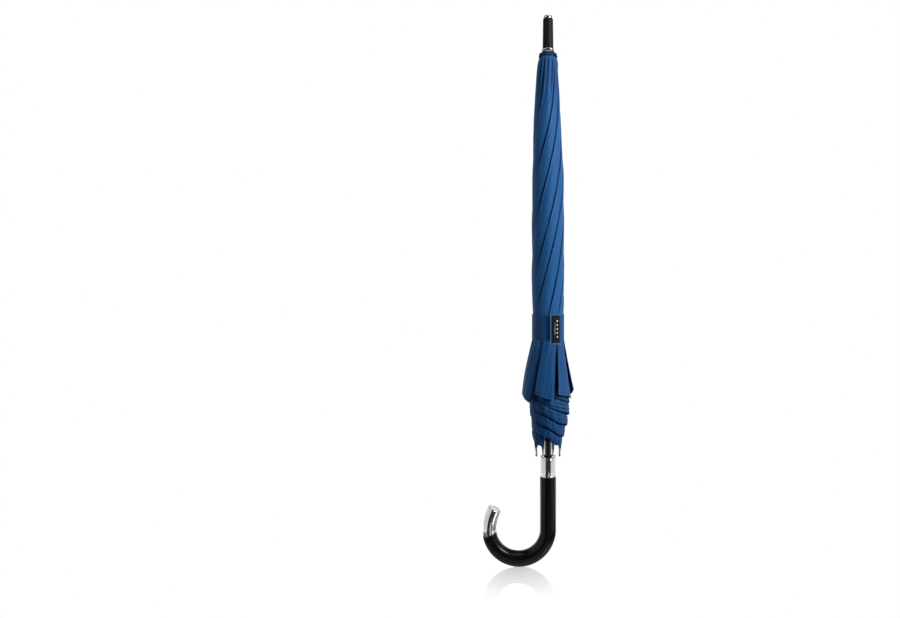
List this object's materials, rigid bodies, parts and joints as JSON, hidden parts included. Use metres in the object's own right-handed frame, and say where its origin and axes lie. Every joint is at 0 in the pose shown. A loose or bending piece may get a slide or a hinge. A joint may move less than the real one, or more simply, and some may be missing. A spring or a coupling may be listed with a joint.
{
  "type": "stick umbrella",
  "caption": "Furled stick umbrella with crook handle, sliding runner, hinged ribs and stretchers, folding canopy gores, tie strap and sprung catches.",
  "frame": {"origin": "on the shaft's axis at the middle of the straight grip", "axes": "+Z along the shaft from handle to ferrule; the crook bends towards -X; -Y is the front with the label"},
  "size_m": [0.1401, 0.072, 0.8739],
  "materials": {
    "canopy_cloth": "fine plain weave with a soft sheen",
    "label_cloth": "woven satin label",
    "grip_lacquer": "smooth gloss",
    "ferrule_plastic": "satin",
    "cap_plastic": "satin",
    "hub_plastic": "satin",
    "shaft_enamel": "gloss enamel",
    "rib_steel": "satin enamel",
    "rib_tip_nickel": "bright",
    "bright_wire": "drawn",
    "bright_chrome": "mirror"
  },
  "bodies": {
    "root": {"shaft_tube": "shaft_enamel", "ferrule": "ferrule_plastic", "ferrule_tip": "bright_chrome", "ferrule_ring": "bright_chrome", "canopy_cap": "cap_plastic", "top_notch": "hub_plastic", "notch_wire": "bright_wire", "stop_ring": "bright_wire", "handle_grip": "grip_lacquer", "handle_collar": "bright_chrome", "collar_liner": "hub_plastic", "crook_end_cap": "bright_chrome"},
    "runner": {"runner_sleeve": "hub_plastic", "runner_crown": "hub_plastic", "runner_wire": "bright_wire"},
    "bottom_catch": {"bottom_catch": "bright_wire"},
    "top_catch": {"top_catch": "bright_wire"},
    "rib_arm_1": {"rib_1": "rib_steel", "rib_tip_1": "rib_tip_nickel"},
    "stretcher_arm_1": {"stretcher_1": "rib_steel"},
    "gore_1_left": {"canopy_1_left": "canopy_cloth"},
    "gore_1_right": {"canopy_1_right": "canopy_cloth"},
    "rib_arm_2": {"rib_2": "rib_steel", "rib_tip_2": "rib_tip_nickel"},
    "stretcher_arm_2": {"stretcher_2": "rib_steel"},
    "gore_2_left": {"canopy_2_left": "canopy_cloth"},
    "gore_2_right": {"canopy_2_right": "canopy_cloth"},
    "rib_arm_3": {"rib_3": "rib_steel", "rib_tip_3": "rib_tip_nickel"},
    "stretcher_arm_3": {"stretcher_3": "rib_steel"},
    "gore_3_left": {"canopy_3_left": "canopy_cloth"},
    "gore_3_right": {"canopy_3_right": "canopy_cloth"},
    "rib_arm_4": {"rib_4": "rib_steel", "rib_tip_4": "rib_tip_nickel"},
    "stretcher_arm_4": {"stretcher_4": "rib_steel"},
    "gore_4_left": {"canopy_4_left": "canopy_cloth"},
    "gore_4_right": {"canopy_4_right": "canopy_cloth"},
    "rib_arm_5": {"rib_5": "rib_steel", "rib_tip_5": "rib_tip_nickel"},
    "stretcher_arm_5": {"stretcher_5": "rib_steel"},
    "gore_5_left": {"canopy_5_left": "canopy_cloth"},
    "gore_5_right": {"canopy_5_right": "canopy_cloth"},
    "rib_arm_6": {"rib_6": "rib_steel", "rib_tip_6": "rib_tip_nickel"},
    "stretcher_arm_6": {"stretcher_6": "rib_steel"},
    "gore_6_left": {"canopy_6_left": "canopy_cloth"},
    "gore_6_right": {"canopy_6_right": "canopy_cloth"},
    "rib_arm_7": {"rib_7": "rib_steel", "rib_tip_7": "rib_tip_nickel"},
    "stretcher_arm_7": {"stretcher_7": "rib_steel"},
    "gore_7_left": {"canopy_7_left": "canopy_cloth", "tie_strap": "canopy_cloth"},
    "gore_7_right": {"canopy_7_right": "canopy_cloth"},
    "rib_arm_8": {"rib_8": "rib_steel", "rib_tip_8": "rib_tip_nickel"},
    "stretcher_arm_8": {"stretcher_8": "rib_steel"},
    "gore_8_left": {"canopy_8_left": "canopy_cloth"},
    "gore_8_right": {"canopy_8_right": "canopy_cloth"},
    "strap_flap": {"strap_tab": "canopy_cloth", "strap_label": "label_cloth"}
  },
  "joints": [
    {"name": "runner_slide", "type": "slide", "parent": "root", "child": "runner", "axis": [0, 0, 1], "range_m": [0, 0.31436], "deforming": ["tie_strap"]},
    {"name": "bottom_catch_press", "type": "slide", "parent": "root", "child": "bottom_catch", "axis": [0, 1, 0], "range_m": [0, 0.0013]},
    {"name": "top_catch_press", "type": "slide", "parent": "root", "child": "top_catch", "axis": [0, 1, 0], "range_m": [0, 0.0013]},
    {"name": "rib_hinge_1", "type": "hinge", "parent": "root", "child": "rib_arm_1", "pos_m": [0.00878, 0.00364, 0.707], "axis": [0.3827, -0.9239, 0], "range_deg": [0, 65.05]},
    {"name": "stretcher_hinge_1", "type": "hinge", "parent": "rib_arm_1", "child": "stretcher_arm_1", "pos_m": [0.01284, 0.00532, 0.44204], "axis": [0.3827, -0.9239, 0], "range_deg": [-130.1, 0]},
    {"name": "gore_fold_1_left", "type": "hinge", "parent": "rib_arm_1", "child": "gore_1_left", "pos_m": [0.00727, 0.00727, 0.707], "axis": [0.6092, 0.6092, -0.5076], "range_deg": [0, 23.75]},
    {"name": "gore_fold_1_right", "type": "hinge", "parent": "rib_arm_1", "child": "gore_1_right", "pos_m": [0.01028, 0, 0.707], "axis": [-0.8616, 0, 0.5076], "range_deg": [0, 23.75]},
    {"name": "rib_hinge_2", "type": "hinge", "parent": "root", "child": "rib_arm_2", "pos_m": [0.00364, 0.00878, 0.707], "axis": [0.9239, -0.3827, 0], "range_deg": [0, 65.05]},
    {"name": "stretcher_hinge_2", "type": "hinge", "parent": "rib_arm_2", "child": "stretcher_arm_2", "pos_m": [0.00532, 0.01284, 0.44204], "axis": [0.9239, -0.3827, 0], "range_deg": [-130.1, 0]},
    {"name": "gore_fold_2_left", "type": "hinge", "parent": "rib_arm_2", "child": "gore_2_left", "pos_m": [0, 0.01028, 0.707], "axis": [0, 0.8616, -0.5076], "range_deg": [0, 23.75]},
    {"name": "gore_fold_2_right", "type": "hinge", "parent": "rib_arm_2", "child": "gore_2_right", "pos_m": [0.00727, 0.00727, 0.707], "axis": [-0.6092, -0.6092, 0.5076], "range_deg": [0, 23.75]},
    {"name": "rib_hinge_3", "type": "hinge", "parent": "root", "child": "rib_arm_3", "pos_m": [-0.00364, 0.00878, 0.707], "axis": [0.9239, 0.3827, 0], "range_deg": [0, 65.05]},
    {"name": "stretcher_hinge_3", "type": "hinge", "parent": "rib_arm_3", "child": "stretcher_arm_3", "pos_m": [-0.00532, 0.01284, 0.44204], "axis": [0.9239, 0.3827, 0], "range_deg": [-130.1, 0]},
    {"name": "gore_fold_3_left", "type": "hinge", "parent": "rib_arm_3", "child": "gore_3_left", "pos_m": [-0.00727, 0.00727, 0.707], "axis": [-0.6092, 0.6092, -0.5076], "range_deg": [0, 23.75]},
    {"name": "gore_fold_3_right", "type": "hinge", "parent": "rib_arm_3", "child": "gore_3_right", "pos_m": [0, 0.01028, 0.707], "axis": [0, -0.8616, 0.5076], "range_deg": [0, 23.75]},
    {"name": "rib_hinge_4", "type": "hinge", "parent": "root", "child": "rib_arm_4", "pos_m": [-0.00878, 0.00364, 0.707], "axis": [0.3827, 0.9239, 0], "range_deg": [0, 65.05]},
    {"name": "stretcher_hinge_4", "type": "hinge", "parent": "rib_arm_4", "child": "stretcher_arm_4", "pos_m": [-0.01284, 0.00532, 0.44204], "axis": [0.3827, 0.9239, 0], "range_deg": [-130.1, 0]},
    {"name": "gore_fold_4_left", "type": "hinge", "parent": "rib_arm_4", "child": "gore_4_left", "pos_m": [-0.01028, 0, 0.707], "axis": [-0.8616, 0, -0.5076], "range_deg": [0, 23.75]},
    {"name": "gore_fold_4_right", "type": "hinge", "parent": "rib_arm_4", "child": "gore_4_right", "pos_m": [-0.00727, 0.00727, 0.707], "axis": [0.6092, -0.6092, 0.5076], "range_deg": [0, 23.75]},
    {"name": "rib_hinge_5", "type": "hinge", "parent": "root", "child": "rib_arm_5", "pos_m": [-0.00878, -0.00364, 0.707], "axis": [-0.3827, 0.9239, 0], "range_deg": [0, 65.05]},
    {"name": "stretcher_hinge_5", "type": "hinge", "parent": "rib_arm_5", "child": "stretcher_arm_5", "pos_m": [-0.01284, -0.00532, 0.44204], "axis": [-0.3827, 0.9239, 0], "range_deg": [-130.1, 0]},
    {"name": "gore_fold_5_left", "type": "hinge", "parent": "rib_arm_5", "child": "gore_5_left", "pos_m": [-0.00727, -0.00727, 0.707], "axis": [-0.6092, -0.6092, -0.5076], "range_deg": [0, 23.75]},
    {"name": "gore_fold_5_right", "type": "hinge", "parent": "rib_arm_5", "child": "gore_5_right", "pos_m": [-0.01028, 0, 0.707], "axis": [0.8616, 0, 0.5076], "range_deg": [0, 23.75]},
    {"name": "rib_hinge_6", "type": "hinge", "parent": "root", "child": "rib_arm_6", "pos_m": [-0.00364, -0.00878, 0.707], "axis": [-0.9239, 0.3827, 0], "range_deg": [0, 65.05]},
    {"name": "stretcher_hinge_6", "type": "hinge", "parent": "rib_arm_6", "child": "stretcher_arm_6", "pos_m": [-0.00532, -0.01284, 0.44204], "axis": [-0.9239, 0.3827, 0], "range_deg": [-130.1, 0]},
    {"name": "gore_fold_6_left", "type": "hinge", "parent": "rib_arm_6", "child": "gore_6_left", "pos_m": [0, -0.01028, 0.707], "axis": [0, -0.8616, -0.5076], "range_deg": [0, 23.75]},
    {"name": "gore_fold_6_right", "type": "hinge", "parent": "rib_arm_6", "child": "gore_6_right", "pos_m": [-0.00727, -0.00727, 0.707], "axis": [0.6092, 0.6092, 0.5076], "range_deg": [0, 23.75]},
    {"name": "rib_hinge_7", "type": "hinge", "parent": "root", "child": "rib_arm_7", "pos_m": [0.00364, -0.00878, 0.707], "axis": [-0.9239, -0.3827, 0], "range_deg": [0, 65.05]},
    {"name": "stretcher_hinge_7", "type": "hinge", "parent": "rib_arm_7", "child": "stretcher_arm_7", "pos_m": [0.00532, -0.01284, 0.44204], "axis": [-0.9239, -0.3827, 0], "range_deg": [-130.1, 0]},
    {"name": "gore_fold_7_left", "type": "hinge", "parent": "rib_arm_7", "child": "gore_7_left", "pos_m": [0.00727, -0.00727, 0.707], "axis": [0.6092, -0.6092, -0.5076], "range_deg": [0, 23.75]},
    {"name": "gore_fold_7_right", "type": "hinge", "parent": "rib_arm_7", "child": "gore_7_right", "pos_m": [0, -0.01028, 0.707], "axis": [0, 0.8616, 0.5076], "range_deg": [0, 23.75]},
    {"name": "rib_hinge_8", "type": "hinge", "parent": "root", "child": "rib_arm_8", "pos_m": [0.00878, -0.00364, 0.707], "axis": [-0.3827, -0.9239, 0], "range_deg": [0, 65.05]},
    {"name": "stretcher_hinge_8", "type": "hinge", "parent": "rib_arm_8", "child": "stretcher_arm_8", "pos_m": [0.01284, -0.00532, 0.44204], "axis": [-0.3827, -0.9239, 0], "range_deg": [-130.1, 0]},
    {"name": "gore_fold_8_left", "type": "hinge", "parent": "rib_arm_8", "child": "gore_8_left", "pos_m": [0.01028, 0, 0.707], "axis": [0.8616, 0, -0.5076], "range_deg": [0, 23.75]},
    {"name": "gore_fold_8_right", "type": "hinge", "parent": "rib_arm_8", "child": "gore_8_right", "pos_m": [0.00727, -0.00727, 0.707], "axis": [-0.6092, 0.6092, 0.5076], "range_deg": [0, 23.75]},
    {"name": "strap_tab_peel", "type": "hinge", "parent": "gore_7_left", "child": "strap_flap", "pos_m": [0.02073, -0.01619, 0.254], "axis": [0, 0, 1], "range_deg": [0, 100]}
  ],
  "couplings": [
    {"joint": "rib_hinge_1", "follows": "runner_slide", "rad_per_m": 3.6115},
    {"joint": "stretcher_hinge_1", "follows": "runner_slide", "rad_per_m": -7.223},
    {"joint": "gore_fold_1_left", "follows": "runner_slide", "rad_per_m": 1.3184},
    {"joint": "gore_fold_1_right", "follows": "runner_slide", "rad_per_m": 1.3184},
    {"joint": "rib_hinge_2", "follows": "runner_slide", "rad_per_m": 3.6115},
    {"joint": "stretcher_hinge_2", "follows": "runner_slide", "rad_per_m": -7.223},
    {"joint": "gore_fold_2_left", "follows": "runner_slide", "rad_per_m": 1.3184},
    {"joint": "gore_fold_2_right", "follows": "runner_slide", "rad_per_m": 1.3184},
    {"joint": "rib_hinge_3", "follows": "runner_slide", "rad_per_m": 3.6115},
    {"joint": "stretcher_hinge_3", "follows": "runner_slide", "rad_per_m": -7.223},
    {"joint": "gore_fold_3_left", "follows": "runner_slide", "rad_per_m": 1.3184},
    {"joint": "gore_fold_3_right", "follows": "runner_slide", "rad_per_m": 1.3184},
    {"joint": "rib_hinge_4", "follows": "runner_slide", "rad_per_m": 3.6115},
    {"joint": "stretcher_hinge_4", "follows": "runner_slide", "rad_per_m": -7.223},
    {"joint": "gore_fold_4_left", "follows": "runner_slide", "rad_per_m": 1.3184},
    {"joint": "gore_fold_4_right", "follows": "runner_slide", "rad_per_m": 1.3184},
    {"joint": "rib_hinge_5", "follows": "runner_slide", "rad_per_m": 3.6115},
    {"joint": "stretcher_hinge_5", "follows": "runner_slide", "rad_per_m": -7.223},
    {"joint": "gore_fold_5_left", "follows": "runner_slide", "rad_per_m": 1.3184},
    {"joint": "gore_fold_5_right", "follows": "runner_slide", "rad_per_m": 1.3184},
    {"joint": "rib_hinge_6", "follows": "runner_slide", "rad_per_m": 3.6115},
    {"joint": "stretcher_hinge_6", "follows": "runner_slide", "rad_per_m": -7.223},
    {"joint": "gore_fold_6_left", "follows": "runner_slide", "rad_per_m": 1.3184},
    {"joint": "gore_fold_6_right", "follows": "runner_slide", "rad_per_m": 1.3184},
    {"joint": "rib_hinge_7", "follows": "runner_slide", "rad_per_m": 3.6115},
    {"joint": "stretcher_hinge_7", "follows": "runner_slide", "rad_per_m": -7.223},
    {"joint": "gore_fold_7_left", "follows": "runner_slide", "rad_per_m": 1.3184},
    {"joint": "gore_fold_7_right", "follows": "runner_slide", "rad_per_m": 1.3184},
    {"joint": "rib_hinge_8", "follows": "runner_slide", "rad_per_m": 3.6115},
    {"joint": "stretcher_hinge_8", "follows": "runner_slide", "rad_per_m": -7.223},
    {"joint": "gore_fold_8_left", "follows": "runner_slide", "rad_per_m": 1.3184},
    {"joint": "gore_fold_8_right", "follows": "runner_slide", "rad_per_m": 1.3184}
  ]
}
